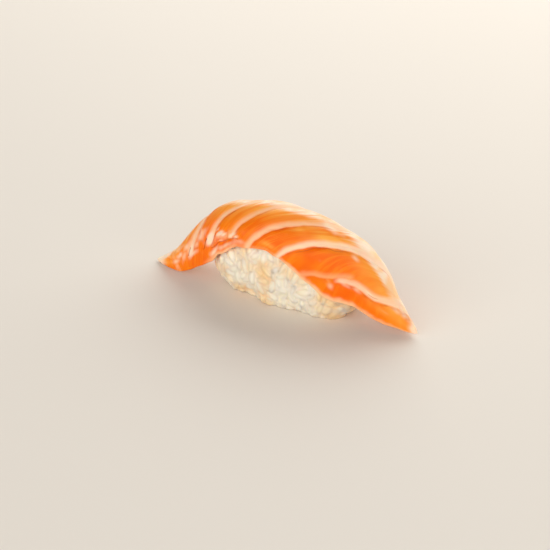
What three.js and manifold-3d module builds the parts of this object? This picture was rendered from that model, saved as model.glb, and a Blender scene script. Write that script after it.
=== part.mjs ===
// Salmon nigiri: a slice of raw salmon draped over a pressed mound of rice.
// Millimetres, +Z up. +X runs along the slice to its thin tail, and -Y is the side where the slice
// lies high and leaves the rice bare. The mound stands on z = 0.
import * as THREE from "three";
import { mergeVertices } from "three/addons/utils/BufferGeometryUtils.js";
import Module from "manifold-3d";

const wasm = await Module();
wasm.setup();

// ---- Driving dimensions ----

// The two ends of the slice, where every lengthwise line of it meets.
const head = { x: -47.5, y: -6.5, z: 0.6 };
const tail = { x: 45, y: -4, z: 1.4 };

// A hump rises from one end of the slice to its peak at peakX and falls to the other end. The pair
// [p, q] of each side shapes its slope as (1 - s^p)^q.
const ridge = { peakX: -2, y: -2.3, z: 29.7, left: [3.2, 1.7], right: [3.3, 1.07] };
const front = {
  hem: { peakX: -2.2, z: 20.1, left: [2.9, 5.5], right: [1.2, 1.53] },
  reach: { peakX: -5.6, y: -7.2, left: [1.7, 0.8], right: [3.7, 1.2] },
};
const back = {
  hem: { peakX: -2.2, z: 15.2, left: [1.9, 1], right: [1.55, 1.65] },
  reach: { peakX: -1.2, y: 16.8, left: [2.85, 0.45], right: [2.8, 1.1] },
};

const slice = {
  bend: THREE.MathUtils.degToRad(78), // turn of the section from the ridge to a hem
  thick: 6, // along the ridge, at the middle
  tipThick: 1.2, // near both ends
  rim: 0.9, // thickness of the hems
  swell: 0.45, // how far the flesh stands between two lines of fat
  fade: 4, // power by which thickness and swell run out at their edges
  endFade: 12, // the same for the very ends of the slice, which are blunter
  rows: 69, // stations along the slice
  columns: 17, // points from hem to hem
};

// Lines of fat: the x where each crosses the front hem, front shoulder, ridge, back shoulder and
// back hem. The first and the last are the ends of the slice.
const fatLines = [
  [-47.5, -47.5, -47.5, -47.5, -47.5],
  [-37, -40.2, -40.6, -40, -38.5],
  [-30, -31.2, -29.5, -26, -22],
  [-25, -23.3, -15.5, -8, -3],
  [-18.5, -12.4, -4, 4, 9],
  [-8.8, -1.2, 14.3, 24, 29],
  [1.3, 11.7, 30, 36, 39],
  [9, 36.5, 41, 43.5, 44.5],
  [45, 45, 45, 45, 45],
];

const mound = {
  halfLength: 25.9, // of the bare core, as are the next two
  halfWidth: 10.7,
  height: 23.6,
  centre: { x: -0.5, y: -0.9 },
  belly: 8.6, // height of its widest level
  foot: 0.8, // size of the footprint against the widest level
  planPower: 2.8, // the level outline is a superellipse
  domePower: 2.3,
  levels: 9,
  sides: 40,
};

const grain = {
  length: [5.2, 6.6],
  width: [2.6, 3.1],
  shortened: 0.7, // length of one that has little room, against a full one
  sunk: 0.5, // depth of its middle line under the core's face
  spacing: 3, // least distance between two middles
  tilt: 0.16, // radians out of the face
  highest: 0.97, // share of the core's height
  sides: 6,
  rings: 4,
  tries: 5000,
};

const gap = 0.3; // between the slice and the rice, and under the ends of the slice
const march = 0.05; // step by which the slice is thickened until it meets the rice
const nudge = 1e-3; // for slopes taken as a difference
const seed = 20240;

// ---- The slice ----

const along = (x) => (x - head.x) / (tail.x - head.x);

// 1 in the middle of a stretch from -1 to 1, and 0 at both ends of it.
const fade = (place, power) => 1 - Math.abs(place) ** power;

function hump(x, { peakX, left, right }) {
  const [p, q] = x < peakX ? left : right;
  const end = x < peakX ? head.x : tail.x;
  const share = Math.min((x - peakX) / (end - peakX), 1);
  return (1 - share ** p) ** q;
}

// A point of the upper face. across runs from -1 at the front hem over 0 on the ridge to 1 at the back.
function upperPoint(x, across) {
  const side = across < 0 ? front : back;
  const baseY = THREE.MathUtils.lerp(head.y, tail.y, along(x));
  const baseZ = THREE.MathUtils.lerp(head.z, tail.z, along(x));
  const rise = hump(x, ridge);
  const ridgeY = baseY + (ridge.y - baseY) * rise;
  const ridgeZ = baseZ + (ridge.z - baseZ) * rise;
  const hemY = baseY + side.reach.y * hump(x, side.reach);
  const hemZ = Math.min(baseZ + (side.hem.z - baseZ) * hump(x, side.hem), ridgeZ);
  const turn = Math.abs(across) * slice.bend;
  const out = Math.sin(turn) / Math.sin(slice.bend);
  const down = (1 - Math.cos(turn)) / (1 - Math.cos(slice.bend));
  return new THREE.Vector3(x, ridgeY + (hemY - ridgeY) * out, ridgeZ + (hemZ - ridgeZ) * down);
}

function upperNormal(x, across) {
  const alongX = upperPoint(x + nudge, across).sub(upperPoint(x - nudge, across));
  const low = Math.max(across - nudge, -1);
  const high = Math.min(across + nudge, 1);
  const acrossIt = upperPoint(x, high).sub(upperPoint(x, low));
  return alongX.cross(acrossIt).normalize();
}

// Where each line of fat crosses at a given place across the slice.
const fatCurves = fatLines.map(
  (crossings) => new THREE.SplineCurve(crossings.map((x, index) => new THREE.Vector2(index, x))),
);

// The flesh swells between the lines of fat and dips at them.
function swellAt(x, across) {
  const crossings = fatCurves.map((curve) => curve.getPoint((across + 1) / 2).y);
  const next = Math.max(crossings.findIndex((crossing) => crossing > x), 1);
  const share = (x - crossings[next - 1]) / (crossings[next] - crossings[next - 1]);
  return slice.swell * fade(2 * share - 1, slice.fade) * fade(across, slice.fade);
}

// How deep the slice goes at a place: thick at the ridge, thin at the hems and the ends, and never
// into the mound or the surface that it stands on.
function depthAt(x, across) {
  const surface = upperPoint(x, across);
  const inward = upperNormal(x, across).negate();
  const fromMiddle = 2 * along(x) - 1;
  const body = slice.tipThick + (slice.thick - slice.tipThick) * fade(fromMiddle, slice.fade);
  const section = slice.rim + (body - slice.rim) * fade(across, slice.fade);
  const full = section * Math.sqrt(fade(fromMiddle, slice.endFade));
  const floorDepth = inward.z < 0 ? (gap - surface.z) / inward.z : full;
  const limit = Math.min(full, floorDepth);
  let depth = march;
  while (depth < limit && moundShare(surface.clone().addScaledVector(inward, depth), gap) > 1) {
    depth += march;
  }
  return Math.min(depth, limit);
}

// One ring of points round the slice: the upper face from hem to hem, then the under face back.
function ringAt(x) {
  const upper = [];
  const under = [];
  for (let column = 0; column < slice.columns; column += 1) {
    const across = (2 * column) / (slice.columns - 1) - 1;
    const surface = upperPoint(x, across);
    const normal = upperNormal(x, across);
    upper.push(surface.clone().addScaledVector(normal, swellAt(x, across)));
    under.unshift(surface.clone().addScaledVector(normal, -depthAt(x, across)));
  }
  return [...upper, ...under];
}

// The rings lie closer together towards the two ends.
function makeSalmon() {
  const middle = (head.x + tail.x) / 2;
  const half = (tail.x - head.x) / 2;
  const rings = [];
  for (let row = 1; row < slice.rows - 1; row += 1) {
    const turn = (Math.PI * row) / (slice.rows - 1);
    rings.push(ringAt(middle - half * Math.cos(turn)));
  }
  const first = new THREE.Vector3(head.x, head.y, head.z);
  const last = new THREE.Vector3(tail.x, tail.y, tail.z);
  return closedLoft(rings, first, last);
}

// A closed surface through rings of points, ending in a point at each side.
function closedLoft(rings, first, last) {
  const size = rings[0].length;
  const points = [first, ...rings.flat(), last];
  const faces = [];
  for (let i = 0; i < size; i += 1) {
    const j = (i + 1) % size;
    faces.push(0, 1 + i, 1 + j);
    for (let row = 0; row < rings.length - 1; row += 1) {
      const here = 1 + row * size;
      const there = here + size;
      faces.push(here + i, there + i, there + j, here + i, there + j, here + j);
    }
    const end = 1 + (rings.length - 1) * size;
    faces.push(end + i, points.length - 1, end + j);
  }
  const geometry = new THREE.BufferGeometry().setFromPoints(points);
  geometry.setIndex(faces);
  return geometry;
}

// ---- The rice ----

// Size of the mound's level at a height, against its widest level.
function levelSize(z, grow) {
  if (z < mound.belly) return 1 - (1 - mound.foot) * ((mound.belly - z) / mound.belly) ** 2;
  const share = Math.min((z - mound.belly) / (mound.height + grow - mound.belly), 1);
  return (1 - share ** mound.domePower) ** (1 / mound.domePower);
}

// Under 1 inside the core grown by a distance all round, over 1 outside it.
function moundShare(point, grow) {
  const size = Math.max(levelSize(point.z, grow), Number.EPSILON);
  const x = Math.abs(point.x - mound.centre.x) / ((mound.halfLength + grow) * size);
  const y = Math.abs(point.y - mound.centre.y) / ((mound.halfWidth + grow) * size);
  return (x ** mound.planPower + y ** mound.planPower) ** (1 / mound.planPower);
}

function moundPoint(angle, z) {
  const size = levelSize(z, 0);
  const round = (value) => Math.sign(value) * Math.abs(value) ** (2 / mound.planPower);
  return new THREE.Vector3(
    mound.centre.x + mound.halfLength * size * round(Math.cos(angle)),
    mound.centre.y + mound.halfWidth * size * round(Math.sin(angle)),
    z,
  );
}

function makeCore() {
  const rings = [];
  for (let level = 0; level < mound.levels; level += 1) {
    const climb = Math.sin((Math.PI / 2) * (level / mound.levels));
    const ring = [];
    for (let side = 0; side < mound.sides; side += 1) {
      ring.push(moundPoint((-2 * Math.PI * side) / mound.sides, mound.height * climb));
    }
    rings.push(ring);
  }
  const { x, y } = mound.centre;
  return closedLoft(rings, new THREE.Vector3(x, y, 0), new THREE.Vector3(x, y, mound.height));
}

// Mulberry32: the same draws on every run.
function seededRandom(state) {
  return () => {
    state = (state + 0x6d2b79f5) | 0;
    let t = Math.imul(state ^ (state >>> 15), 1 | state);
    t = (t + Math.imul(t ^ (t >>> 7), 61 | t)) ^ t;
    return ((t ^ (t >>> 14)) >>> 0) / 4294967296;
  };
}

function solidOf(geometry) {
  const bare = geometry.clone();
  bare.deleteAttribute("normal");
  bare.deleteAttribute("uv");
  const merged = mergeVertices(bare, 1e-5);
  const vertProperties = new Float32Array(merged.attributes.position.array);
  const triVerts = new Uint32Array(merged.index.array);
  return new wasm.Manifold(new wasm.Mesh({ numProp: 3, vertProperties, triVerts }));
}

function geometryOf(solid) {
  const { vertProperties, triVerts } = solid.getMesh();
  const geometry = new THREE.BufferGeometry();
  geometry.setAttribute("position", new THREE.BufferAttribute(vertProperties, 3));
  geometry.setIndex(new THREE.BufferAttribute(triVerts, 1));
  return geometry;
}

function makeGrain({ middle, turn }, length, width) {
  const geometry = new THREE.SphereGeometry(0.5, grain.sides, grain.rings);
  geometry.scale(width, length, width);
  geometry.applyQuaternion(turn);
  geometry.translate(middle.x, middle.y, middle.z);
  return solidOf(geometry);
}

// Where a grain lies: its middle just under the core's face, its length in that face at any turn.
function placeOn(angle, z, random) {
  const round = moundPoint(angle + nudge, z).sub(moundPoint(angle - nudge, z));
  const climb = moundPoint(angle, z + nudge).sub(moundPoint(angle, z - nudge));
  const outward = round.clone().cross(climb).normalize();
  const spin = random() * Math.PI;
  const lie = round.normalize().multiplyScalar(Math.cos(spin));
  lie.addScaledVector(climb.normalize(), Math.sin(spin));
  lie.addScaledVector(outward, grain.tilt * (2 * random() - 1)).normalize();
  const turn = new THREE.Quaternion().setFromUnitVectors(new THREE.Vector3(0, 1, 0), lie);
  const middle = moundPoint(angle, z).addScaledVector(outward, -grain.sunk);
  return { middle, turn };
}

// Grains laid over the core wherever the slice leaves room. One that would meet the slice is
// shortened, or else left out.
function scatterGrains(salmon) {
  const random = seededRandom(seed);
  const between = ([low, high]) => low + (high - low) * random();
  const middles = [];
  const grains = [];
  for (let attempt = 0; attempt < grain.tries; attempt += 1) {
    const place = placeOn(2 * Math.PI * random(), mound.height * grain.highest * random(), random);
    const length = between(grain.length);
    const width = between(grain.width);
    if (middles.some((other) => other.distanceTo(place.middle) < grain.spacing)) continue;
    const share = [1, grain.shortened].find((size) => {
      const grown = makeGrain(place, length * size + 2 * gap, width + 2 * gap);
      return grown.intersect(salmon).isEmpty();
    });
    if (!share) continue;
    middles.push(place.middle);
    grains.push(makeGrain(place, length * share, width));
  }
  return grains;
}

function makeRice(salmon) {
  const deep = mound.height;
  const wide = 4 * mound.halfLength;
  const ground = new THREE.BoxGeometry(wide, wide, deep).translate(0, 0, -deep / 2);
  const heap = wasm.Manifold.union([solidOf(makeCore()), ...scatterGrains(salmon)]);
  const standing = heap.subtract(solidOf(ground));
  // Only the heap's own outer body is kept, so no sealed hollow and no loose scrap is left.
  const largest = standing.decompose().reduce((a, b) => (a.volume() > b.volume() ? a : b));
  return geometryOf(largest);
}

// ---- The whole piece ----

const flesh = new THREE.MeshStandardMaterial({ color: 0xf47a20, roughness: 0.35, metalness: 0 });
const cookedRice = new THREE.MeshStandardMaterial({ color: 0xecdcc2, roughness: 0.5, metalness: 0 });

const salmonGeometry = makeSalmon();
const salmonMesh = new THREE.Mesh(salmonGeometry, flesh);
salmonMesh.name = "salmon";
const riceMesh = new THREE.Mesh(makeRice(solidOf(salmonGeometry)), cookedRice);
riceMesh.name = "rice";

const nigiri = new THREE.Group();
nigiri.add(riceMesh, salmonMesh);
for (const mesh of nigiri.children) mesh.geometry.computeVertexNormals();

// The origin is the middle of the piece's outline, on the surface that it stands on.
const box = new THREE.Box3().setFromObject(nigiri);
const centre = box.getCenter(new THREE.Vector3());
nigiri.position.set(-centre.x, -centre.y, -box.min.z);

export default nigiri;
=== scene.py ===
import math

import bmesh
import bpy
import numpy as np
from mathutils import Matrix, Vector, noise
from mathutils.bvhtree import BVHTree
from mathutils.kdtree import KDTree


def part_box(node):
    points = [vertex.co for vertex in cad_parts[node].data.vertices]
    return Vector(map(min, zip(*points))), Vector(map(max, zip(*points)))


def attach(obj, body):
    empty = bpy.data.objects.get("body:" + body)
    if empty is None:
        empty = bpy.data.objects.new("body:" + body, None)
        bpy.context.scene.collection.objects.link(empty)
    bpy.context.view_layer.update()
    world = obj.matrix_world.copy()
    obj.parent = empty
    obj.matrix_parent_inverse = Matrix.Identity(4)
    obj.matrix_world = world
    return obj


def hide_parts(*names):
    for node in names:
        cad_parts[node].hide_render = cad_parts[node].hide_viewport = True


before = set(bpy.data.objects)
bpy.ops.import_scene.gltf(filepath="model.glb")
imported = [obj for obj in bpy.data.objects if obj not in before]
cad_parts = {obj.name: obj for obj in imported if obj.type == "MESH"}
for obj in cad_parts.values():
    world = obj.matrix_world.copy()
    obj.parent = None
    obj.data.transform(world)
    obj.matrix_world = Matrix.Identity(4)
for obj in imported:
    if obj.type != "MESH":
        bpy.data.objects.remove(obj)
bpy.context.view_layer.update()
mm = 0.001  # the tables below are in millimetres, and every mesh is in metres


def toLinear(hexCode):
    # "#rrggbb" in sRGB to the linear colour that a shader socket takes
    parts = [int(hexCode[i:i + 2], 16) / 255 for i in (1, 3, 5)]
    return [p / 12.92 if p <= 0.04045 else ((p + 0.055) / 1.055) ** 2.4 for p in parts] + [1.0]


def addNode(tree, kind, inputs=None, **settings):
    # one node: its settings, and its inputs as plain values or as the sockets that feed them
    node = tree.nodes.new(kind)
    for name, value in settings.items():
        setattr(node, name, value)
    for name, value in (inputs or {}).items():
        if isinstance(value, bpy.types.NodeSocket):
            tree.links.new(value, node.inputs[name])
        else:
            node.inputs[name].default_value = value
    return node


def newMaterial(name):
    material = bpy.data.materials.new(name)
    material.use_nodes = True
    material.node_tree.nodes.clear()
    return material, material.node_tree


def meshFrom(name, points, faces):
    mesh = bpy.data.meshes.new(name)
    mesh.from_pydata(points.tolist(), [], faces)
    mesh.update()
    mesh.shade_smooth()
    piece = bpy.data.objects.new(name, mesh)
    bpy.context.scene.collection.objects.link(piece)
    return piece


def skinFaces(rows, columns):
    # quads between rows of points that close in a ring, and a fan to one more point beyond either end
    count = rows * columns
    grid = np.arange(count).reshape(rows, columns)
    beside = np.roll(grid, -1, axis=1)
    faces = np.stack([grid[:-1], grid[1:], beside[1:], beside[:-1]], -1).reshape(-1, 4).tolist()
    faces += [(count, a, b) for a, b in zip(grid[0].tolist(), beside[0].tolist())]
    faces += [(a, count + 1, b) for a, b in zip(grid[-1].tolist(), beside[-1].tolist())]
    return faces


def addAttribute(mesh, name, values):
    mesh.attributes.new(name, "FLOAT", "POINT").data.foreach_set("value", values.astype(np.float32))


def lumps(points, size, seed):
    # smooth noise from -1 to 1 with lumps of that size in mm
    start = Vector((17.3, 5.1, 9.7)) * seed
    return np.array([noise.noise(Vector(p) / size + start) for p in points])


def unit(vectors):
    return vectors / np.maximum(np.linalg.norm(vectors, axis=-1, keepdims=True), 1e-12)


def softly(values, low, high):
    # 0 at low and 1 at high, with a soft start and end; low may be the larger one
    share = np.clip((values - low) / (high - low), 0, 1)
    return share * share * (3 - 2 * share)


def alongTable(x, table):
    return np.interp(x, *zip(*table))


fish = {
    "head": (-47.7, -6.5, 0.6),  # the two ends, where every lengthwise line of the slice meets
    "tail": (45.6, -4.0, 1.4),
    # a hump rises from one end to its peak at peakX, and each side of it falls as (1 - s^p)^q
    "ridge": {"peakX": -2.0, "y": -2.3, "z": 29.7, "left": (3.2, 1.7), "right": (3.3, 1.07)},
    "frontHem": {"peakX": -2.2, "z": 20.1, "left": (2.9, 5.5), "right": (1.2, 1.53)},
    "frontReach": {"peakX": -5.6, "y": -7.2, "left": (1.7, 0.8), "right": (3.7, 1.2)},
    "backHem": {"peakX": -2.2, "z": 15.2, "left": (1.9, 1.0), "right": (1.55, 1.65)},
    "backReach": {"peakX": -1.2, "y": 16.8, "left": (2.85, 0.45), "right": (2.8, 1.1)},
    "bend": math.radians(78),  # turn of the section from the ridge to a hem
    "thick": 6.0,  # along the ridge, at the middle
    "tipThick": 1.2,
    "rim": 0.9,  # thickness of the hems, which are rounded
    "fade": 4,  # power by which thickness and relief run out at the hems
    "endFade": 12,  # the same for the ends, which are blunter
    "gap": 0.3,  # to the rice and to the floor
    "march": 0.05,  # step by which the slice is thickened until it meets the rice
    "rows": 420,
    "frontColumns": 100,
    "backColumns": 58,
    "underColumns": 46,
    "rimColumns": 5,
    "round": {"head": 0.4, "tail": 1.0},  # stretch over which each end is rounded off
    # x, half width and drop of the places where the front hem hangs lower or, with a minus, higher
    "hemDrops": ((-32.0, 6.0, -0.7), (-22.0, 3.8, 1.8), (-21.0, 1.5, -1.7), (-9.0, 3.0, 0.3),
                 (13.0, 6.5, 1.2), (18.0, 4.5, 1.0), (26.6, 1.6, -0.7), (28.0, 5.0, -1.6), (39.0, 5.5, -1.3)),
    "hemWaves": ((9.0, 0.16), (5.3, 0.1)),  # length and height of the hems' unevenness
    # x, half width and depth of the hollows along the ridge, and where across they start and are full
    "hollows": ((-39.0, 4.0, 0.9), (-31.0, 5.0, 0.4), (-16.0, 4.5, 0.8), (-4.0, 3.0, -0.25), (8.0, 5.0, 0.2),
                (16.0, 5.0, 1.0), (29.0, 5.0, 0.6), (38.2, 4.0, 1.5)),
    "hollowAcross": (-0.7, 0.0),
    "swell": 0.45,  # how far the flesh stands above its lines of fat
    "swellWidth": 1.4,
    "step": 0.28,  # drop from a line of fat to the flesh on its tail side
    "stepStart": 0.25,  # stretch over which it comes, and the one over which it goes
    "stepWidth": 0.9,
    "uneven": 0.18,  # height and size of the soft lumps of the face
    "unevenSize": 7.0,
    "waver": 0.2,  # how far, and over what length, the edges of the fat waver
    "waverSize": 2.2,
    "taper": 0.12,  # share of a line's length over which it runs out, at an end that isn't at a hem
    # Where the fat, the halo above it and the shade below it are gone and where they are full: how far past
    # the line's edge on that side, counted in the softness of its edges
    "fatBelow": (0.35, -0.2),
    "fatAbove": (0.9, -0.4),
    "haloAbove": (2.2, 0.0),
    "shadeBelow": ((0.0, 0.3), (1.0, 0.3)),
    # strength of the cream over the ridge, partly a milky layer of fat and partly painted highlight, and the
    # place across the slice where it starts
    "filmAndSheen": ((-45, 1.05), (-38, 1.0), (-34, 0.82), (-31, 0.66), (-28, 0.66), (-24, 0.9), (-18, 1.05),
             (-9, 1.0), (0, 1.0), (9, 0.85), (18, 0.85), (26, 1.05), (36, 1.1), (40, 1.0), (43, 0.7)),
    "filmAndSheenFrom": ((-45, -0.5), (-38, -0.4), (-34, -0.31), (-31, -0.2), (-28, -0.09), (-24, -0.06),
                 (-18, -0.14), (-9, -0.08), (0, -0.1), (10, -0.1), (18, -0.08), (23, -0.13), (28, -0.26),
                 (32, -0.33), (36, -0.46), (42, -0.66)),
    # from and to where it comes up, against that place, and the places where it is gone at the back and where
    # it is still full; and the same for the yellower band before it, partly yellower flesh and partly painted
    # light on the upper shoulder
    "filmAndSheenEdges": ((-0.2, 0.25), (0.75, 0.4)),
    "yellowAndLitEdges": ((-0.5, 0.0), (1.0, 0.5)),
    # how pale the thin lip of the hem is
    "lip": ((-47, 0.1), (-41, 0.0), (-27, 0.0), (-22, 0.8), (-17, 1.0), (-13, 0.35), (-3, 0.2), (3, 0.6),
            (6, 1.0), (24, 1.0), (28, 0.7), (40, 0.5), (45, 0.6)),
    "lipAcross": (0.935, 1.0),  # where it starts and is full
    "lipWaver": (0.02, 1.7),  # how far, and over what length, its start wavers
    "paleRange": (0.1, 1.1),  # strengths at which a pale patch starts to show and is full
    "paleWaver": (0.25, 1.9),  # how far, and over what length, that strength wavers
}

mound = {
    "halfLength": 25.9,
    "halfWidth": 10.7,
    "height": 23.6,
    "centre": (-0.5, -0.9),
    "belly": 8.6,  # height of the widest level
    "foot": 0.8,
    "planPower": 2.8,
    "domePower": 2.3,
}

# Lines of fat: places (x, across), with across from -1 at the front hem over 0 on the ridge to 1 at the
# back hem, then the half width in mm at the first and at the last place, how creamy and how full the line
# is, and how soft its edges are.
fatLines = [
    (((-36.5, -1), (-38.3, -0.82), (-40.1, -0.6), (-40.5, -0.3), (-40.6, 0), (-40, 0.5), (-38.5, 1)),
     0.2, 0.5, 0.3, 0.35, 2.0),
    (((-31, -0.85), (-31.9, -0.79), (-32.3, -0.72), (-32.1, -0.62), (-31.4, -0.48), (-30.8, -0.33),
      (-29.5, 0), (-26, 0.5), (-22, 1)), 1.1, 0.5, 0.65, 0.85, 1.6),
    (((-25.0, -0.79), (-24.3, -0.7), (-23.5, -0.57), (-21.3, -0.38), (-18.6, -0.25), (-15.2, 0),
      (-8, 0.5), (-3, 1)), 0.7, 0.5, 0.4, 0.95, 1.1),
    (((-16, -0.86), (-15.8, -0.75), (-12.2, -0.5), (-8, -0.25), (-4, 0), (4, 0.5), (9, 1)),
     0.45, 0.55, 0.3, 0.95, 1.2),
    (((-9.4, -1), (-8.3, -0.9), (-5.9, -0.75), (-1.1, -0.5), (6.2, -0.25), (14.3, 0), (24, 0.5), (29, 1)),
     0.6, 0.5, 0.35, 1.0, 1.2),
    (((1.2, -1), (2.6, -0.9), (5, -0.75), (11.8, -0.5), (23.4, -0.25), (30.2, 0), (36, 0.5), (39, 1)),
     0.35, 1.15, 0.75, 1.0, 1.2),
    (((8.5, -0.97), (11.2, -0.91), (14.3, -0.83), (17.1, -0.785), (20.0, -0.74), (23.0, -0.695),
      (26.5, -0.64)), 0.4, 0.5, 0.2, 0.55, 1.4),
    (((19.6, -0.8), (21.2, -0.77), (23.2, -0.75), (25.8, -0.725), (28.3, -0.715), (30.9, -0.71), (33, -0.69),
      (34.8, -0.64), (37.2, -0.53), (39.4, -0.38), (41.3, -0.05), (42.6, 0.4), (43.6, 1)),
     0.45, 1.0, 0.7, 0.85, 1.4),
    (((17.2, -0.79), (18.2, -0.82), (18.6, -0.85), (19.3, -0.88)), 0.2, 0.1, 0.2, 0.25, 1.4),
]
bandLines = fatLines[:6]  # those that cross the whole slice, from head to tail

# Creases: places, half width in mm on the head or upper side and on the other one, depth in mm, and how dark
# the painted shade in the crease is.
creases = [
    (((-26.2, -0.65), (-26.5, -0.7), (-26.6, -0.75), (-26.6, -0.81)), 0.3, 0.7, 0.5, 0.85),
    (((-17.8, -0.69), (-17.5, -0.75), (-17.6, -0.81), (-18.4, -0.87)), 0.3, 0.8, 0.4, 0.45),
    (((-24.8, -0.825), (-23.4, -0.83), (-21.9, -0.84), (-20.0, -0.83), (-18.6, -0.825), (-17.0, -0.835),
      (-14.5, -0.86), (-11.5, -0.92)), 0.3, 1.6, 0.6, 0.55),
    (((-23.3, -0.59), (-23.4, -0.67), (-23.9, -0.76), (-23.8, -0.81)), 0.25, 0.5, 0.3, 0.25),
    (((-21.9, -0.61), (-20.6, -0.66), (-18.9, -0.67), (-17.5, -0.65)), 0.25, 0.6, 0.3, 0.25),
    (((-22.8, -0.79), (-21, -0.77), (-19.5, -0.79), (-17.9, -0.83)), 0.25, 0.6, 0.35, 0.3),
    (((-16.4, -0.7), (-15.9, -0.78), (-15.9, -0.86)), 0.25, 0.6, 0.3, 0.3),
    (((-14.6, -0.74), (-14.1, -0.8), (-14.3, -0.88)), 0.25, 0.6, 0.25, 0.25),
    (((-29.4, -0.45), (-29.3, -0.55), (-29.6, -0.66), (-29.2, -0.76)), 0.3, 0.8, 0.3, 0.2),
    (((-27.4, -0.5), (-27.6, -0.6), (-28, -0.68)), 0.3, 0.8, 0.25, 0.2),
    (((-33, -0.64), (-33.3, -0.72), (-33.3, -0.8)), 0.3, 0.7, 0.4, 0.7),
    (((-37.8, -0.55), (-37.5, -0.68), (-36.4, -0.8)), 0.3, 1.0, 0.3, 0.2),
    (((-42.6, -0.5), (-41.6, -0.66), (-39.8, -0.8)), 0.3, 1.0, 0.3, 0.2),
    (((-4.9, -0.69), (-2.9, -0.59), (-0.5, -0.52), (1.8, -0.47), (3.6, -0.45), (7.5, -0.36)),
     0.25, 0.6, 0.2, 0.35),
    (((5.7, -0.79), (9.8, -0.64), (12.9, -0.53), (16.2, -0.46), (18.6, -0.44), (22, -0.37)),
     0.25, 0.6, 0.25, 0.6),
    (((23.3, -0.745), (24.9, -0.725), (26.5, -0.71), (28.0, -0.705)), 0.2, 0.4, 0.2, 0.4),
    (((30.4, -0.72), (31.4, -0.72), (32.4, -0.71), (33.6, -0.68)), 0.2, 0.4, 0.25, 0.55),
]

# Pale and golden patches: middle (x, across), half size in mm and in across, and strength. The pale ones are
# partly pale marks of fat and partly painted highlights.
paleAndGlintPatches = [
    (-46.8, -0.3, 3.0, 1.5, 1.6),
    (-43.4, -0.35, 2.4, 0.22, 1.0),
    (-38.4, -0.8, 1.8, 0.07, 0.75),
    (-38.0, -0.93, 0.9, 0.1, 0.5),
    (-37.4, -0.52, 2.2, 0.1, 0.58),
    (-37.2, -0.7, 1.6, 0.08, 0.85),
    (-34.8, -0.76, 1.2, 0.1, 0.75),
    (-34.5, -0.6, 1.6, 0.1, 0.7),
    (-32.4, -0.71, 1.4, 0.12, 0.9),
    (-30.6, -0.79, 1.9, 0.055, 0.75),
    (-30.0, -0.68, 1.5, 0.08, 0.7),
    (-29.3, -0.35, 1.6, 0.2, 0.5),
    (-28.6, -0.56, 2.3, 0.12, 0.85),
    # these, down to x = -13.0, are painted highlights on the ridges of the wrinkles
    (-24.6, -0.69, 1.2, 0.09, 1.9),
    (-22.2, -0.92, 1.8, 0.07, 0.85),
    (-20.5, -0.74, 7.0, 0.1, 0.55),
    (-19.9, -0.81, 1.2, 0.03, 0.7),
    (-21.9, -0.61, 1.1, 0.03, 0.7),
    (-20.5, -0.7, 1.7, 0.045, 1.3),
    (-18.9, -0.725, 1.4, 0.04, 1.0),
    (-17.8, -0.92, 3.6, 0.05, 0.75),
    (-15.7, -0.78, 1.4, 0.05, 1.1),
    (-14.0, -0.84, 1.3, 0.04, 0.9),
    (-13.0, -0.92, 3.2, 0.06, 0.6),
    (14.0, -0.01, 3.0, 0.08, 1.1),
    (16.2, -0.1, 3.4, 0.09, 0.6),
    (19.0, -0.86, 1.4, 0.05, 0.5),
    (23.0, -0.28, 2.5, 0.05, 0.7),
    (23.6, -0.785, 2.4, 0.03, 0.6),
    (25.0, -0.37, 1.6, 0.05, 0.75),
    (27.2, -0.775, 2.6, 0.03, 0.52),
    (29.5, -0.16, 2.4, 0.08, 0.8),
    (30.8, -0.7, 1.4, 0.02, 0.8),
    (35.8, -0.8, 2.0, 0.05, 0.3),
    (38.6, -0.58, 2.2, 0.1, 0.6),
    # partly painted highlight at the tail's tip
    (44.6, -0.3, 1.6, 1.5, 1.4),
]
goldPatches = [
    (-42.0, -0.8, 2.2, 0.12, 1.0),
    (-40.6, -0.48, 2.6, 0.12, 1.0),
    (-36.0, -0.42, 3.0, 0.12, 0.6),
    (-17.0, -0.15, 4.5, 0.12, 0.7),
    (-7.0, -0.2, 5.0, 0.14, 0.9),
    (-2.0, -0.88, 2.6, 0.05, 0.9),
    (6.0, -0.38, 4.5, 0.1, 1.0),
    (15.0, -0.3, 9.0, 0.13, 1.4),
    (32.6, -0.5, 3.6, 0.1, 0.6),
    (34.0, -0.8, 3.6, 0.07, 0.7),
    (41.0, -0.75, 3.0, 0.16, 0.9),
]


def hump(x, rail):
    left = x < rail["peakX"]
    end = np.where(left, fish["head"][0], fish["tail"][0])
    p = np.where(left, rail["left"][0], rail["right"][0])
    q = np.where(left, rail["left"][1], rail["right"][1])
    return (1 - np.clip((x - rail["peakX"]) / (end - rail["peakX"]), 0, 1) ** p) ** q


def drawnIn(x):
    # over the last stretch at each end x falls short, which rounds the end off
    for end, way in (("head", 1), ("tail", -1)):
        reach = fish["round"][end]
        start = fish[end][0] + way * reach * math.pi / 2
        past = np.clip(way * (start - x) / reach, 0, math.pi / 2)
        x = np.where(past > 0, start - way * reach * np.sin(past), x)
    return x


def hemSag(x, front):
    # how far the hem hangs below its even curve
    low = sum(drop * np.exp(-((x - middle) / half) ** 2) for middle, half, drop in fish["hemDrops"])
    waves = sum(height * np.sin(2 * math.pi * x / length + 2 * front)
                for length, height in fish["hemWaves"])
    return waves + np.where(front, low, 0)


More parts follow.
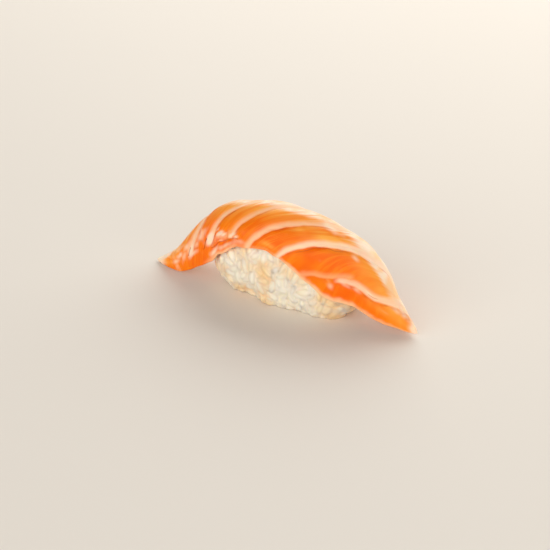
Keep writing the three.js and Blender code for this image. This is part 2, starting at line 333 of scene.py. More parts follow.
def upperPoint(x, across):
    x, across = np.broadcast_arrays(np.asarray(x, float), np.asarray(across, float))
    head, tail = np.array(fish["head"]), np.array(fish["tail"])
    share = (x - head[0]) / (tail[0] - head[0])
    baseY = head[1] + (tail[1] - head[1]) * share
    baseZ = head[2] + (tail[2] - head[2]) * share
    rise = hump(x, fish["ridge"])
    ridgeY = baseY + (fish["ridge"]["y"] - baseY) * rise
    ridgeZ = baseZ + (fish["ridge"]["z"] - baseZ) * rise
    front = across < 0
    hemY = baseY + np.where(front, fish["frontReach"]["y"] * hump(x, fish["frontReach"]),
                            fish["backReach"]["y"] * hump(x, fish["backReach"]))
    hemRise = np.where(front, (fish["frontHem"]["z"] - baseZ) * hump(x, fish["frontHem"]),
                       (fish["backHem"]["z"] - baseZ) * hump(x, fish["backHem"]))
    hemZ = np.minimum(baseZ + hemRise, ridgeZ) - hemSag(x, front) * rise
    turn = np.abs(across) * fish["bend"]
    out = np.sin(turn) / math.sin(fish["bend"])
    down = (1 - np.cos(turn)) / (1 - math.cos(fish["bend"]))
    return np.stack([drawnIn(x), ridgeY + (hemY - ridgeY) * out, ridgeZ + (hemZ - ridgeZ) * down], -1)


def upperNormal(x, across, nudge=1e-3):
    alongX = upperPoint(x + nudge, across) - upperPoint(x - nudge, across)
    acrossIt = upperPoint(x, np.minimum(across + nudge, 1)) - upperPoint(x, np.maximum(across - nudge, -1))
    return unit(np.cross(alongX, acrossIt))


def levelSize(z, grow=0.0):
    # size of the mound's level at a height, against its widest level
    low = 1 - (1 - mound["foot"]) * ((mound["belly"] - z) / mound["belly"]) ** 2
    climb = np.clip((z - mound["belly"]) / (mound["height"] + grow - mound["belly"]), 0, 1)
    power = mound["domePower"]
    return np.maximum(np.where(z < mound["belly"], low, (1 - climb ** power) ** (1 / power)), 1e-6)


def moundShare(point, grow):
    # under 1 inside the bare core grown by a distance all round
    size = levelSize(point[..., 2], grow)
    a = np.abs(point[..., 0] - mound["centre"][0]) / ((mound["halfLength"] + grow) * size)
    b = np.abs(point[..., 1] - mound["centre"][1]) / ((mound["halfWidth"] + grow) * size)
    return (a ** mound["planPower"] + b ** mound["planPower"]) ** (1 / mound["planPower"])


def depthAt(x, across):
    point, inward = upperPoint(x, across), -upperNormal(x, across)
    middle = 2 * (x - fish["head"][0]) / (fish["tail"][0] - fish["head"][0]) - 1
    body = fish["tipThick"] + (fish["thick"] - fish["tipThick"]) * (1 - np.abs(middle) ** fish["fade"])
    section = fish["rim"] + (body - fish["rim"]) * (1 - np.abs(across) ** fish["fade"])
    full = section * np.sqrt(1 - np.abs(middle) ** fish["endFade"])
    down = np.minimum(inward[..., 2], -1e-9)
    limit = np.where(inward[..., 2] < 0, np.minimum(full, (fish["gap"] - point[..., 2]) / down), full)
    depth = np.full(limit.shape, fish["march"])
    for _ in range(int(fish["thick"] / fish["march"])):
        ahead = moundShare(point + inward * depth[..., None], fish["gap"]) > 1
        depth = np.where(ahead & (depth < limit), depth + fish["march"], depth)
    return np.minimum(depth, limit)


def throughPlaces(places, count=24):
    # a smooth line through (x, across) places, with count points to each stretch
    p = np.array([places[0], *places, places[-1]], float)
    t = np.linspace(0, 1, count, endpoint=False)[:, None]
    stretches = [0.5 * (2 * b + (c - a) * t + (2 * a - 5 * b + 4 * c - d) * t ** 2
                        + (3 * b - a - 3 * c + d) * t ** 3) for a, b, c, d in zip(p, p[1:], p[2:], p[3:])]
    line = np.concatenate([*stretches, p[-1:]])
    line[:, 1] = np.clip(line[:, 1], -1, 1)
    return line


def besideLine(places, points):
    # for each point: its distance in mm to the line, counted positive on the line's lower or tail side, the
    # share of the line's length where it is nearest, and a taper to 0 at an end that isn't at a hem
    way = throughPlaces(places)
    spots = upperPoint(way[:, 0], way[:, 1])
    sides = unit(np.cross(np.gradient(spots, axis=0), upperNormal(way[:, 0], way[:, 1])))
    tree = KDTree(len(spots))
    for index, spot in enumerate(spots):
        tree.insert(spot, index)
    tree.balance()
    index = np.array([tree.find(point)[1] for point in points])
    away = points - spots[index]
    sign = np.where((away * sides[index]).sum(-1) < 0, -1.0, 1.0)
    share = index / (len(way) - 1)
    taper = np.ones(len(points))
    for fromEnd, place in ((share, places[0]), (1 - share, places[-1])):
        if abs(place[1]) < 1:
            taper *= softly(fromEnd, 0, fish["taper"])
    return np.linalg.norm(away, axis=-1) * sign, share, taper


def bandPlace(x, across):
    # 0 at the head, a whole number on each line of fat that crosses the slice, the last at the tail
    ways = [throughPlaces(line[0]) for line in bandLines]
    place = np.empty_like(x)
    for column, c in enumerate(across[0]):
        crossings = [np.interp(c, way[:, 1], way[:, 0]) for way in ways]
        stations = [fish["head"][0], *crossings, fish["tail"][0]]
        place[:, column] = np.interp(x[:, column], stations, np.arange(len(stations)))
    return place


def patchwork(patches, x, across):
    parts = [strength * np.exp(-((x - midX) / halfX) ** 2 - ((across - midAcross) / halfAcross) ** 2)
             for midX, midAcross, halfX, halfAcross, strength in patches]
    return np.max(parts, axis=0)


def makeSlice():
    head, tail = fish["head"], fish["tail"]
    turn = np.linspace(0, math.pi, fish["rows"])[1:-1]
    stations = (head[0] + tail[0]) / 2 - (tail[0] - head[0]) / 2 * np.cos(turn)
    front = np.linspace(-1, 0, fish["frontColumns"], endpoint=False)
    back = np.linspace(0, 1, fish["backColumns"])
    under = np.linspace(1, -1, fish["underColumns"])
    rim = fish["rimColumns"]
    across = np.concatenate([front, back, np.full(rim, 1.0), under, np.full(rim, -1.0)])
    backRim = slice(len(front) + len(back), len(front) + len(back) + rim)
    underSide = slice(backRim.stop, backRim.stop + len(under))
    frontRim = slice(underSide.stop, underSide.stop + rim)
    x, c = np.meshgrid(stations, across, indexing="ij")
    surface, normal, depth = upperPoint(x, c), upperNormal(x, c), depthAt(x, c)
    flat = surface.reshape(-1, 3)

    # each line of fat lies in a shallow groove, with a small step down and some shade under it
    lift = fish["swell"] + fish["uneven"] * (lumps(flat, fish["unevenSize"], 1)
                                             + lumps(flat, fish["unevenSize"] / 2, 2) / 2)
    waver = fish["waver"] * lumps(flat, fish["waverSize"], 3)
    fat, cream, halo, shade, paintedCreaseShade, pinched = np.zeros((6, len(flat)))
    for places, halfStart, halfEnd, creamy, full, blur in fatLines:
        side, share, taper = besideLine(places, flat)
        half = halfStart + (halfEnd - halfStart) * share
        full = full * taper
        below, above = (side + waver - half) / blur, (-side - waver - half) / blur
        onLine = full * softly(below, *fish["fatBelow"]) * softly(above, *fish["fatAbove"])
        cream = np.where(onLine > fat, creamy, cream)
        fat = np.maximum(fat, onLine)
        glow = full ** 2 * softly(above, *fish["haloAbove"]) * softly(below, *fish["fatBelow"])
        halo = np.maximum(halo, glow)
        comes, goes = fish["shadeBelow"]
        shade = np.maximum(shade, full * softly(below, *comes) * softly(below, *goes))
        past = np.maximum(side - half, 0)
        lift -= fish["swell"] * full * np.exp(-(side / fish["swellWidth"]) ** 2)
        lift -= fish["step"] * full * np.exp(-past / fish["stepWidth"]) * softly(past, 0, fish["stepStart"])
    for places, halfAbove, halfBelow, depthInMm, darkness in creases:
        side, _, taper = besideLine(places, flat)
        pinched += depthInMm * taper * np.exp(-(side / np.where(side < 0, halfAbove, halfBelow)) ** 2)
        # painted shade along the crease
        paintedCreaseShade = np.maximum(paintedCreaseShade, darkness * taper * np.exp(-(side / halfAbove) ** 2))
    hollow = sum(deep * np.exp(-((x - middle) / half) ** 2) for middle, half, deep in fish["hollows"])
    lift = lift.reshape(x.shape) - hollow * softly(c, *fish["hollowAcross"])
    lift *= 1 - np.abs(c) ** fish["fade"]
    lift -= pinched.reshape(x.shape) * (1 - np.abs(c) ** (4 * fish["fade"]))

    # pale patches, partly pale marks and partly painted highlights; the cream over the ridge, partly a milky
    # layer of fat and partly painted highlight; the yellower band before it, partly flesh and partly painted
    # light; and the lip of the hem
    much, length = fish["paleWaver"]
    pale = softly(patchwork(paleAndGlintPatches, x, c).ravel() + much * lumps(flat, length, 4), *fish["paleRange"])
    start, strength = alongTable(x, fish["filmAndSheenFrom"]), alongTable(x, fish["filmAndSheen"])
    filmAndSheen, yellowAndLit = (strength * softly(c, start + before, start + past) * softly(c, *backEdge)
                    for (before, past), backEdge in (fish["filmAndSheenEdges"], fish["yellowAndLitEdges"]))
    yellowAndLit = np.maximum(yellowAndLit, patchwork(goldPatches, x, c))
    much, length = fish["lipWaver"]
    lip = softly(np.abs(c).ravel() + much * lumps(flat, length, 5), *fish["lipAcross"])
    lip *= alongTable(x, fish["lip"]).ravel()

    points = surface + normal * lift[..., None]
    points[:, underSide] = (surface - normal * depth[..., None])[:, underSide]
    for hem, columns, direction in ((1.0, backRim, 1), (-1.0, frontRim, -1)):
        # a half round from the one face to the other
        outward = unit(surface[:, columns] - upperPoint(x[:, columns], hem * 0.999))
        angles = np.linspace(0, math.pi, rim + 2)[1:-1][::direction, None]
        swing = normal[:, columns] * np.cos(angles) + outward * np.sin(angles)
        half = depth[:, columns, None] / 2
        points[:, columns] = surface[:, columns] - normal[:, columns] * half + swing * half

    ends = upperPoint(np.array([head[0], tail[0]]), 0.0)
    piece = meshFrom("salmonSlice", np.concatenate([points.reshape(-1, 3), ends]) * mm, skinFaces(*x.shape))
    for name, values in (("fat", fat), ("cream", cream), ("halo", halo), ("shade", shade), ("creaseShade", paintedCreaseShade),
                         ("pale", pale), ("filmAndSheen", filmAndSheen), ("yellowAndLit", yellowAndLit), ("lip", lip),
                         ("lengthways", x), ("crossways", c), ("band", bandPlace(x, c))):
        addAttribute(piece.data, name, np.append(values, values.ravel()[[0, -1]]))
    return piece


def centreOf(low, high):
    return Vector(((low[0] + high[0]) / 2, (low[1] + high[1]) / 2, 0))


salmonSlice = makeSlice()
sliceAt = np.array([vertex.co for vertex in salmonSlice.data.vertices])
shift = centreOf(*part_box("salmon")) - centreOf(sliceAt.min(0), sliceAt.max(0))
for vertex in salmonSlice.data.vertices:
    vertex.co += shift
print("slice:", len(salmonSlice.data.polygons), "faces, shifted by", [round(s / mm, 2) for s in shift])


rice = {
    "sides": 150,
    "levels": 70,
    "spacing": 2.4,  # least distance between the middles of two grains
    "length": (5.4, 7.0),
    "width": (2.8, 3.5),
    "sunk": (0.3, 1.1),  # depth of a grain's middle line under the core's face
    "tilt": 0.2,
    "bow": 0.07,  # how far the middle of a bent grain stands out, against its width
    "blunt": 0.22,  # 0 leaves a grain's ends pointed like an egg's
    "kinds": (-1.0, 0.3, 1.0),  # how strongly, and to which side, each kind of grain is bent
    "grainSides": 10,
    "grainRings": 8,
    "tipRadius": 0.01,  # a grain's ends are blunted as if they were at least this far from its middle line
    "seed": 11,
    "room": 3.0,  # grains lie where the slice is at least this far off
    "steepest": -0.9,  # and where the face doesn't look down more than this
    "pressed": 0.05,  # height down to which the grains are pressed flat where the heap stands
    "webSize": 0.36,  # size of the cells in which the starch between the grains is worked out
    "webRounds": 5,
    "webTone": 0.4,
    # x, half width and depth of the hollows along the foot of the front, with a minus for a bulge
    "dents": ((-18.0, 3.0, 0.8), (-10.0, 3.6, 2.0), (6.0, 2.5, 0.5), (20.0, 3.5, -1.6)),
    "short": (0.5, 1.0),  # how far the lower half of the left and right end stays back
    "shortFrom": (0.7, 1.0),  # shares of the half length where that starts and is full
    "puff": 0.1,  # how far the face stands out all round
    "lump": 0.45,  # height and size of the unevenness of the hand-pressed face
    "lumpSize": 6.5,
    "lumpHeights": (0.7, 0.4),  # shares of the height above which there is none and below which it is full
}


def makeCore():
    turn = -np.linspace(0, 2 * math.pi, rice["sides"], endpoint=False)
    z = mound["height"] * np.sin(np.linspace(0, math.pi / 2, rice["levels"], endpoint=False))
    size, power = levelSize(z)[:, None], 2 / mound["planPower"]
    roundX = np.sign(np.cos(turn)) * np.abs(np.cos(turn)) ** power
    roundY = np.sign(np.sin(turn)) * np.abs(np.sin(turn)) ** power
    rings = np.stack([mound["centre"][0] + mound["halfLength"] * size * roundX,
                      mound["centre"][1] + mound["halfWidth"] * size * roundY,
                      np.repeat(z[:, None], len(turn), 1)], -1)
    # the hand-pressed face is uneven, and drawn in at some places along its foot; under the slice it isn't
    outward = unit(rings - (*mound["centre"], mound["belly"]))
    lump = lumps(rings.reshape(-1, 3), rice["lumpSize"], 6).reshape(rings.shape[:2])
    dent = sum(deep * np.exp(-((rings[..., 0] - middle) / half) ** 2)
               for middle, half, deep in rice["dents"])
    dent *= softly(z, mound["belly"], 0)[:, None] * (roundY < 0)
    lower = softly(z, *[share * mound["height"] for share in rice["lumpHeights"]])[:, None]
    rings += outward * ((rice["puff"] + rice["lump"] * lump) * lower)[..., None]
    rings[..., 1] += dent
    left, right = rice["short"]
    rings[..., 0] += np.where(roundX < 0, left, -right) * softly(np.abs(roundX), *rice["shortFrom"]) * lower
    rings[..., 2] = np.maximum(rings[..., 2], 0)
    ends = [(*mound["centre"], 0), (*mound["centre"], mound["height"])]
    points = np.concatenate([rings.reshape(-1, 3), ends]) * mm + np.array(shift)
    core = meshFrom("riceCore", points, skinFaces(len(z), len(turn)))
    # grains have room where nothing of the slice is near in front of the face
    roof = BVHTree.FromObject(salmonSlice, bpy.context.evaluated_depsgraph_get())
    bare = []
    for vertex in core.data.vertices:
        hit = roof.ray_cast(vertex.co, vertex.normal, rice["room"] * mm)
        bare.append(float(hit[0] is None and vertex.normal.z > rice["steepest"]))
    addAttribute(core.data, "bare", np.array(bare))
    return core


def grainTree(material):
    tree = bpy.data.node_groups.new("laidGrains", "GeometryNodeTree")
    tree.interface.new_socket("Core", in_out="INPUT", socket_type="NodeSocketGeometry")
    sizes = {"Spacing": rice["spacing"] * mm, "Shortest": rice["length"][0] * mm,
             "Longest": rice["length"][1] * mm, "Thinnest": rice["width"][0] * mm,
             "Thickest": rice["width"][1] * mm, "Least sunk": rice["sunk"][0] * mm,
             "Most sunk": rice["sunk"][1] * mm, "Tilt": rice["tilt"], "Bow": rice["bow"],
             "Blunt": rice["blunt"]}
    for name in sizes:
        tree.interface.new_socket(name, in_out="INPUT", socket_type="NodeSocketFloat")
    tree.interface.new_socket("Grains", in_out="OUTPUT", socket_type="NodeSocketGeometry")
    given = tree.nodes.new("NodeGroupInput").outputs

    # the inputs that are also needed with a minus, and the random numbers that each grain gets
    minus = {}
    for name in ("Blunt", "Tilt", "Least sunk", "Most sunk"):
        negated = addNode(tree, "ShaderNodeMath", {0: given[name], 1: -1.0}, operation="MULTIPLY")
        minus[name] = negated.outputs[0]
    drawn = {}
    for name, low, high, seed in (("tilt", minus["Tilt"], given["Tilt"], 1), ("turn", 0.0, 2 * math.pi, 2),
                                  ("width", given["Thinnest"], given["Thickest"], 3),
                                  ("length", given["Shortest"], given["Longest"], 4),
                                  ("sunk", minus["Least sunk"], minus["Most sunk"], 6),
                                  ("tone", 0.0, 1.0, 7)):
        drawn[name] = addNode(tree, "FunctionNodeRandomValue", {2: low, 3: high, "Seed": seed}).outputs[1]
    which = addNode(tree, "FunctionNodeRandomValue", {4: 0, 5: len(rice["kinds"]) - 1, "Seed": 5},
                    data_type="INT")

    kinds = addNode(tree, "GeometryNodeGeometryToInstance")
    for bow in rice["kinds"]:
        # a ball of 1 m, its ends blunted and its middle pushed to one side, to be scaled to size
        ball = addNode(tree, "GeometryNodeMeshUVSphere",
                       {"Segments": rice["grainSides"], "Rings": rice["grainRings"], "Radius": 0.5})
        laid = addNode(tree, "GeometryNodeTransform",
                       {"Geometry": ball.outputs["Mesh"], "Rotation": (math.pi / 2, 0, 0)})
        here = addNode(tree, "GeometryNodeInputPosition").outputs[0]
        place = addNode(tree, "ShaderNodeSeparateXYZ", {0: here}).outputs
        flat = addNode(tree, "ShaderNodeVectorMath", {0: here, 1: (2, 0, 2)}, operation="MULTIPLY")
        radius = addNode(tree, "ShaderNodeVectorMath", {0: flat.outputs[0]}, operation="LENGTH")
        made = {"x": place["X"], "y": place["Y"], "z": place["Z"], "radius": radius.outputs["Value"],
                "lessBlunt": minus["Blunt"], "bowSize": given["Bow"]}
        for name, operation, a, b in (("held", "MAXIMUM", "radius", rice["tipRadius"]),
                                      ("fuller", "POWER", "held", "lessBlunt"),
                                      ("squared", "POWER", "y", 2.0),
                                      ("bent", "MULTIPLY", "squared", -4 * bow),
                                      ("aside", "MULTIPLY", "bent", "bowSize"),
                                      ("wide", "MULTIPLY", "x", "fuller"),
                                      ("newX", "ADD", "wide", "aside"),
                                      ("newZ", "MULTIPLY", "z", "fuller")):
            made[name] = addNode(tree, "ShaderNodeMath", {0: made.get(a, a), 1: made.get(b, b)},
                                 operation=operation).outputs[0]
        shaped = addNode(tree, "ShaderNodeCombineXYZ",
                         {"X": made["newX"], "Y": made["y"], "Z": made["newZ"]})
        grain = addNode(tree, "GeometryNodeSetPosition",
                        {"Geometry": laid.outputs[0], "Position": shaped.outputs[0]})
        tree.links.new(grain.outputs[0], kinds.inputs[0])

    bare = addNode(tree, "GeometryNodeInputNamedAttribute", {"Name": "bare"}, data_type="FLOAT")
    spread = addNode(tree, "GeometryNodeDistributePointsOnFaces",
                     {"Mesh": given["Core"], "Distance Min": given["Spacing"], "Density Max": 1e7,
                      "Density Factor": bare.outputs["Attribute"], "Seed": rice["seed"]},
                     distribute_method="POISSON")
    inward = addNode(tree, "ShaderNodeVectorMath", {0: spread.outputs["Normal"], "Scale": drawn["sunk"]},
                     operation="SCALE")
    sunk = addNode(tree, "GeometryNodeSetPosition",
                   {"Geometry": spread.outputs["Points"], "Offset": inward.outputs[0]})
    turn = addNode(tree, "ShaderNodeCombineXYZ", {"X": drawn["tilt"], "Z": drawn["turn"]})
    turnBy = addNode(tree, "FunctionNodeEulerToRotation", {0: turn.outputs[0]})
    turned = addNode(tree, "FunctionNodeRotateRotation",
                     {"Rotation": spread.outputs["Rotation"], "Rotate By": turnBy.outputs[0]},
                     rotation_space="LOCAL")
    size = addNode(tree, "ShaderNodeCombineXYZ",
                   {"X": drawn["width"], "Y": drawn["length"], "Z": drawn["width"]})
    placed = addNode(tree, "GeometryNodeInstanceOnPoints",
                     {"Points": sunk.outputs[0], "Instance": kinds.outputs[0], "Pick Instance": True,
                      "Instance Index": which.outputs[2], "Rotation": turned.outputs[0],
                      "Scale": size.outputs[0]})
    toned = addNode(tree, "GeometryNodeStoreNamedAttribute",
                    {"Geometry": placed.outputs[0], "Name": "tone", "Value": drawn["tone"]},
                    data_type="FLOAT", domain="INSTANCE")
    solid = addNode(tree, "GeometryNodeRealizeInstances", {"Geometry": toned.outputs[0]})
    smooth = addNode(tree, "GeometryNodeSetShadeSmooth", {"Geometry": solid.outputs[0]})
    finished = addNode(tree, "GeometryNodeSetMaterial",
                       {"Geometry": smooth.outputs[0], "Material": material})
    addNode(tree, "NodeGroupOutput", {"Grains": finished.outputs[0]})
    return tree, sizes


def plainMesh(source, name):
    # the source's evaluated shape as a mesh of its own
    mesh = bpy.data.meshes.new_from_object(source.evaluated_get(bpy.context.evaluated_depsgraph_get()))
    mesh.name = name
    return mesh


def layGrains(core, material):
    tree, sizes = grainTree(material)
    modifier = core.modifiers.new("laidGrains", "NODES")
    modifier.node_group = tree
    for socket in tree.interface.items_tree:
        if socket.name in sizes:
            modifier[socket.identifier] = sizes[socket.name]
    grains = bpy.data.objects.new("riceGrains", plainMesh(core, "riceGrains"))
    bpy.context.scene.collection.objects.link(grains)
    core.modifiers.remove(modifier)
    for vertex in grains.data.vertices:
        vertex.co.z = max(vertex.co.z, rice["pressed"] * mm)
    return grains


def webCore(core, grains, material):
    # the core, with the starch that fills the seams between the grains
    joined = bmesh.new()
    joined.from_mesh(core.data)
    joined.from_mesh(grains.data)
    joined.to_mesh(core.data)
    joined.free()
    cells = core.modifiers.new("web", "REMESH")
    cells.mode = "VOXEL"
    cells.voxel_size = rice["webSize"] * mm
    soften = core.modifiers.new("soften", "SMOOTH")
    soften.factor = 0.5
    soften.iterations = rice["webRounds"]
    mesh = plainMesh(core, "riceCore")
    core.modifiers.clear()
    core.data = mesh
    for vertex in mesh.vertices:
        vertex.co.z = max(vertex.co.z, 0.0)
    mesh.shade_smooth()
    mesh.materials.clear()
    mesh.materials.append(material)
    addAttribute(mesh, "tone", np.full(len(mesh.vertices), rice["webTone"]))


# Looks of the flesh. Every value has a name, and is made from values that stand before it.
fleshLook = {
    # what the slice's points carry
    "carried": ("fat", "cream", "halo", "shade", "creaseShade", "pale", "filmAndSheen", "yellowAndLit", "lip", "lengthways",
                "crossways", "band"),
    # soft clouds: size in mm, and detail
    "clouds": {"muscleCloud": (9.0, 2.0), "filmAndSheenCloud": (5.0, 2.0), "shadeCloud": (4.0, 2.0),
               "wetCloud": (2.5, 2.0), "grit": (0.6, 3.0)},
    # streaks along the lines of fat: size in mm across them and along them
    "fibres": {"fineFibres": (0.4, 9.0), "broadFibres": (1.5, 14.0)},
    "lineGap": 8.0,  # mm from one line of fat to the next, about
    "ridgeToHem": 18.0,
    # a value, its start and end, and what the new one runs from and to there; or an operation on two values
    "values": {
        "muscle": ("muscleCloud", 0.35, 0.65, 0.0, 1.0),
        "tailward": ("lengthways", 24.0, 43.0, 0.0, 0.6),
        "broadStreaks": ("broadFibres", 0.5, 0.7, 0.0, 0.35),
        "fineStreaks": ("fineFibres", 0.46, 0.68, 0.0, 0.5),
        "haloShare": ("MULTIPLY", "halo", 0.25),
        # the yellower band, partly flesh and partly painted light on the upper shoulder
        "yellowAndLitStreaks": ("broadFibres", 0.3, 0.6, 0.35, 0.9),
        "yellowAndLitShare": ("MULTIPLY", "yellowAndLit", "yellowAndLitStreaks"),
        # the cream over the ridge in streaks, partly a milky layer of fat and partly painted highlight
        "broadFilmAndSheenFray": ("broadFibres", 0.3, 0.7, -0.2, 0.2),
        "fineFilmAndSheenFray": ("fineFibres", 0.3, 0.7, -0.15, 0.15),
        "filmAndSheenBroad": ("ADD", "filmAndSheen", "broadFilmAndSheenFray"),
        "filmAndSheenStreaks": ("ADD", "filmAndSheenBroad", "fineFilmAndSheenFray"),
        "filmAndSheenShare": ("filmAndSheenStreaks", 0.25, 0.95, 0.0, 0.9),
        "filmAndSheenTone": ("filmAndSheenCloud", 0.38, 0.62, 0.0, 1.0),
        "shadeSpots": ("shadeCloud", 0.4, 0.7, 0.1, 0.6),
        "shadeShare": ("MULTIPLY", "shade", "shadeSpots"),
        "fatShare": ("MULTIPLY", "fat", 0.95),
        "paleAndGlintShare": ("MULTIPLY", "pale", 0.85),
        "lipShare": ("MULTIPLY", "lip", 0.85),
        # painted shade in the creases
        "creaseShadeShare": ("creaseShade", 0.15, 0.9, 0.0, 0.8),
        "roughness": ("wetCloud", 0.3, 0.7, 0.34, 0.46),
    },
    # colours mixed from two: the share of the second one, and the two
    "mixed": {"filmAndSheenColour": ("filmAndSheenTone", "#ffd2a4", "#ffe9d4"), "fatTone": ("cream", "#ffb47c", "#ffe2c8")},
    # orange muscle, a little deeper and a little yellower in soft clouds, and yellower towards the tail;
    # towards the ridge a yellower band in streaks, partly flesh and partly painted light, and then cream that
    # is partly a milky layer of fat and partly painted highlight
    "base": "#f26800",
    "layers": (("muscle", "#f67800"), ("tailward", "#f88e06"), ("broadStreaks", "#fa9010"),
               ("fineStreaks", "#fa961a"), ("haloShare", "#ffa45c"), ("yellowAndLitShare", "#ffae4c"),
               ("filmAndSheenShare", "filmAndSheenColour"), ("shadeShare", "#c94a02"), ("fatShare", "fatTone"),
               ("paleAndGlintShare", "#ffe2c8"), ("lipShare", "#ffcba0"), ("creaseShadeShare", "#9c3f12")),
}


def makeFlesh():
    # Raw salmon, cut with a long knife and moist: soft orange muscle that light enters, between lines of
    # paler fat, with the fine grain of the muscle along them and a wet sheen.
    material, tree = newMaterial("rawSalmonKnifeCut")
    place = addNode(tree, "ShaderNodeTexCoord").outputs["Object"]
    made = {}
    for name in fleshLook["carried"]:
        made[name] = addNode(tree, "ShaderNodeAttribute", attribute_name=name).outputs["Fac"]
    for name, (sizeInMm, detail) in fleshLook["clouds"].items():
        cloud = addNode(tree, "ShaderNodeTexNoise",
                        {"Vector": place, "Scale": 1 / (sizeInMm * mm), "Detail": detail})
        made[name] = cloud.outputs[0]
    for name, (acrossInMm, alongInMm) in fleshLook["fibres"].items():
        way = addNode(tree, "ShaderNodeCombineXYZ")
        for axis, value, factor in (("X", "band", fleshLook["lineGap"] / acrossInMm),
                                    ("Y", "crossways", fleshLook["ridgeToHem"] / alongInMm)):
            scaled = addNode(tree, "ShaderNodeMath", {0: made[value], 1: factor}, operation="MULTIPLY")
            tree.links.new(scaled.outputs[0], way.inputs[axis])
        streaks = addNode(tree, "ShaderNodeTexNoise",
                          {"Vector": way.outputs[0], "Scale": 1.0, "Detail": 2.0})
        made[name] = streaks.outputs[0]
    for name, (first, *others) in fleshLook["values"].items():
        if first in made:
            ends = dict(zip(("From Min", "From Max", "To Min", "To Max"), others))
            node = addNode(tree, "ShaderNodeMapRange", {"Value": made[first], **ends},
                           interpolation_type="SMOOTHSTEP")
        else:
            a, b = [made.get(other, other) for other in others]
            node = addNode(tree, "ShaderNodeMath", {0: a, 1: b}, operation=first)
        made[name] = node.outputs[0]
    for name, (share, *pair) in fleshLook["mixed"].items():
        first, second = [toLinear(colour) for colour in pair]
        mix = addNode(tree, "ShaderNodeMix", {0: made[share], 6: first, 7: second}, data_type="RGBA")
        made[name] = mix.outputs[2]
    flesh = toLinear(fleshLook["base"])
    for share, colour in fleshLook["layers"]:
        over = made[colour] if colour in made else toLinear(colour)
        mix = addNode(tree, "ShaderNodeMix", {0: made[share], 6: flesh, 7: over}, data_type="RGBA")
        flesh = mix.outputs[2]

    grit = addNode(tree, "ShaderNodeBump", {"Height": made["grit"], "Strength": 0.2, "Distance": 0.12 * mm})
    grain = addNode(tree, "ShaderNodeBump", {"Height": made["fineFibres"], "Strength": 0.5,
                                             "Distance": 0.16 * mm, "Normal": grit.outputs[0]})
    shader = addNode(tree, "ShaderNodeBsdfPrincipled",
                     {"Base Color": flesh, "Normal": grain.outputs[0], "Roughness": made["roughness"],
                      "IOR": 1.36, "Specular IOR Level": 0.18, "Subsurface Weight": 0.3,
                      "Subsurface Radius": (1.8, 1.0, 0.4), "Subsurface Scale": mm,
                      "Coat Weight": 0.05, "Coat Roughness": 0.22, "Coat IOR": 1.34})
    addNode(tree, "ShaderNodeOutputMaterial", {"Surface": shader.outputs[0]})
    return material


riceLook = {
    "brown": "#ffd09c",
    "ivory": "#fff0d8",
    "toneRange": (0.32, 0.7),  # tones at which the rice is brown and ivory
    "cloudSize": 9.0,  # of the clouds of tone, in mm
    "grainTone": 0.12,  # how far the tones of two grains may lie apart
    # browner towards the tail, as painted warm bounce light and painted shade: x in mm where that starts and
    # where it is full, and by how much
    "tailwardBounceAndShade": (8.0, 24.0, 0.22),
    # and in one spot of the front: its middle, its outer and inner radius in mm, and by how much
    "spot": (-1.0, -10.5, 12.5),
    "spotFade": (7.0, 1.5, 0.16),
    "starchSize": 0.8,  # of the lumps in the skin of starch
}


def makeRiceFinish():
    # Boiled short-grain rice, pressed while warm: ivory and slightly see-through, each grain a little
    # different, with a moist skin of starch.
    material, tree = newMaterial("boiledRicePressed")
    place = addNode(tree, "ShaderNodeTexCoord").outputs["Object"]
    tone = addNode(tree, "ShaderNodeAttribute", attribute_name="tone").outputs["Fac"]
    cloud = addNode(tree, "ShaderNodeTexNoise",
                    {"Vector": place, "Scale": 1 / (riceLook["cloudSize"] * mm), "Detail": 1.0})
    own = addNode(tree, "ShaderNodeMath", {0: tone, 1: riceLook["grainTone"]}, operation="MULTIPLY")
    both = addNode(tree, "ShaderNodeMath", {0: own.outputs[0], 1: cloud.outputs[0]}, operation="ADD")
    lengthways = addNode(tree, "ShaderNodeSeparateXYZ", {0: place}).outputs["X"]
    away = addNode(tree, "ShaderNodeVectorMath", {0: place, 1: [s * mm for s in riceLook["spot"]]},
                   operation="DISTANCE").outputs["Value"]
    # how much browner: towards the tail as painted warm bounce light and shade, and in one spot of the front
    browning = addNode(tree, "ShaderNodeMath", operation="ADD")
    for index, (value, (start, full, most)) in enumerate(((lengthways, riceLook["tailwardBounceAndShade"]),
                                                          (away, riceLook["spotFade"]))):
        browner = addNode(tree, "ShaderNodeMapRange",
                          {"Value": value, "From Min": start * mm, "From Max": full * mm, "To Max": most},
                          interpolation_type="SMOOTHSTEP")
        tree.links.new(browner.outputs[0], browning.inputs[index])
    less = addNode(tree, "ShaderNodeMath", {0: both.outputs[0], 1: browning.outputs[0]}, operation="SUBTRACT")
    low, high = riceLook["toneRange"]
    share = addNode(tree, "ShaderNodeMapRange",
                    {"Value": less.outputs[0], "From Min": low, "From Max": high},
                    interpolation_type="SMOOTHSTEP")
    colour = addNode(tree, "ShaderNodeMix",
                     {0: share.outputs[0], 6: toLinear(riceLook["brown"]), 7: toLinear(riceLook["ivory"])},
                     data_type="RGBA")
    fine = addNode(tree, "ShaderNodeTexNoise",
                   {"Vector": place, "Scale": 1 / (riceLook["starchSize"] * mm), "Detail": 2.0})
    skin = addNode(tree, "ShaderNodeBump",
                   {"Height": fine.outputs[0], "Strength": 0.15, "Distance": 0.1 * mm})
    shader = addNode(tree, "ShaderNodeBsdfPrincipled",
                     {"Base Color": colour.outputs[2], "Normal": skin.outputs[0], "Roughness": 0.38,
                      "IOR": 1.38, "Subsurface Weight": 0.5, "Subsurface Radius": (2.6, 1.9, 1.2),
                      "Subsurface Scale": mm, "Coat Weight": 0.15, "Coat Roughness": 0.25})
    addNode(tree, "ShaderNodeOutputMaterial", {"Surface": shader.outputs[0]})
    return material


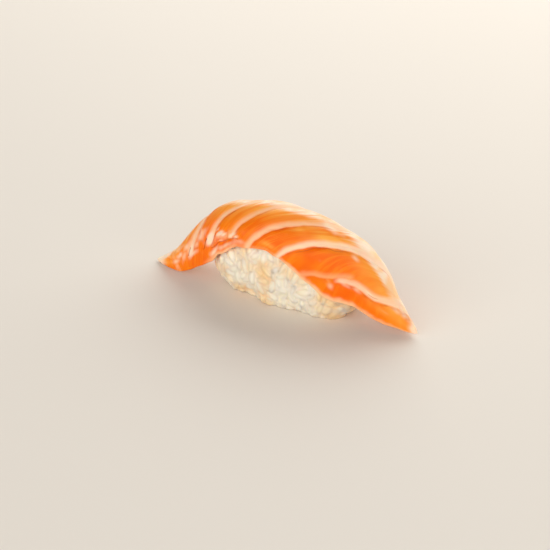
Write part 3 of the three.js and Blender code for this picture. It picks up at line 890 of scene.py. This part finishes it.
boiledRice = makeRiceFinish()
salmonSlice.data.materials.append(makeFlesh())
riceCore = makeCore()
riceGrains = layGrains(riceCore, boiledRice)
webCore(riceCore, riceGrains, boiledRice)
print("rice:", len(riceGrains.data.polygons), "faces of grains,", len(riceCore.data.polygons), "of core")

for piece, node, slot in ((salmonSlice, "salmon", "salmon_flesh"), (riceCore, "rice", "cooked_rice"),
                          (riceGrains, "rice", "cooked_rice")):
    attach(piece, "root")
    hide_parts(node)

studio = {
    "floorSize": 2.4,
    "floorColour": "#e0dcd6",
    "worldColour": "#ffffff",
    "worldStrength": 0.25,
    # name: place in m, width and height in m, power in W, colour
    "lights": {
        "backSoftbox": ((0.0, 0.8, 0.5), (2.0, 0.8), 15.0, "#fff8ee"),
        "frontFill": ((-0.1, -1.17, 0.45), (1.8, 1.2), 15.3, "#fff8ee"),
        "rightFill": ((1.1, -0.5, 0.3), (0.8, 0.5), 2.8, "#fff8ee"),
    },
    "azimuth": 31.5,
    "elevation": 30.0,
    "distance": 500.0,
    "lens": 105.6,
    "aim": (-3.4, -6.0, 8.0),  # in the slice's own mm
}


def makeStudio():
    material, tree = newMaterial("paleSeamlessPaper")
    shader = addNode(tree, "ShaderNodeBsdfPrincipled",
                     {"Base Color": toLinear(studio["floorColour"]), "Roughness": 0.7})
    addNode(tree, "ShaderNodeOutputMaterial", {"Surface": shader.outputs[0]})
    half = studio["floorSize"] / 2
    corners = np.array([(-half, -half, 0), (half, -half, 0), (half, half, 0), (-half, half, 0)])
    floor = meshFrom("floor", corners, [(0, 1, 2, 3)])
    floor.data.materials.append(material)

    world = bpy.data.worlds.new("paleRoom")
    world.use_nodes = True
    background = world.node_tree.nodes["Background"]
    background.inputs["Color"].default_value = toLinear(studio["worldColour"])
    background.inputs["Strength"].default_value = studio["worldStrength"]
    bpy.context.scene.world = world

    for name, (place, size, power, colour) in studio["lights"].items():
        light = bpy.data.lights.new(name, "AREA")
        light.shape = "RECTANGLE"
        light.size, light.size_y = size
        light.energy = power
        light.color = toLinear(colour)[:3]
        lamp = bpy.data.objects.new(name, light)
        lamp.location = place
        lamp.rotation_euler = Vector(place).to_track_quat("Z", "Y").to_euler()
        bpy.context.scene.collection.objects.link(lamp)

    azimuth, elevation = math.radians(studio["azimuth"]), math.radians(studio["elevation"])
    back = Vector((math.sin(azimuth) * math.cos(elevation), -math.cos(azimuth) * math.cos(elevation),
                   math.sin(elevation)))
    camera = bpy.data.objects.new("camera", bpy.data.cameras.new("camera"))
    camera.data.lens = studio["lens"]
    camera.data.sensor_width = 36
    camera.data.clip_start = 0.01
    camera.location = (Vector(studio["aim"]) + back * studio["distance"]) * mm + shift
    camera.rotation_euler = back.to_track_quat("Z", "Y").to_euler()
    bpy.context.scene.collection.objects.link(camera)
    bpy.context.scene.camera = camera
    bpy.context.scene.view_settings.view_transform = "Standard"


makeStudio()
print("studio: floor, world,", len(studio["lights"]), "lights and the camera")
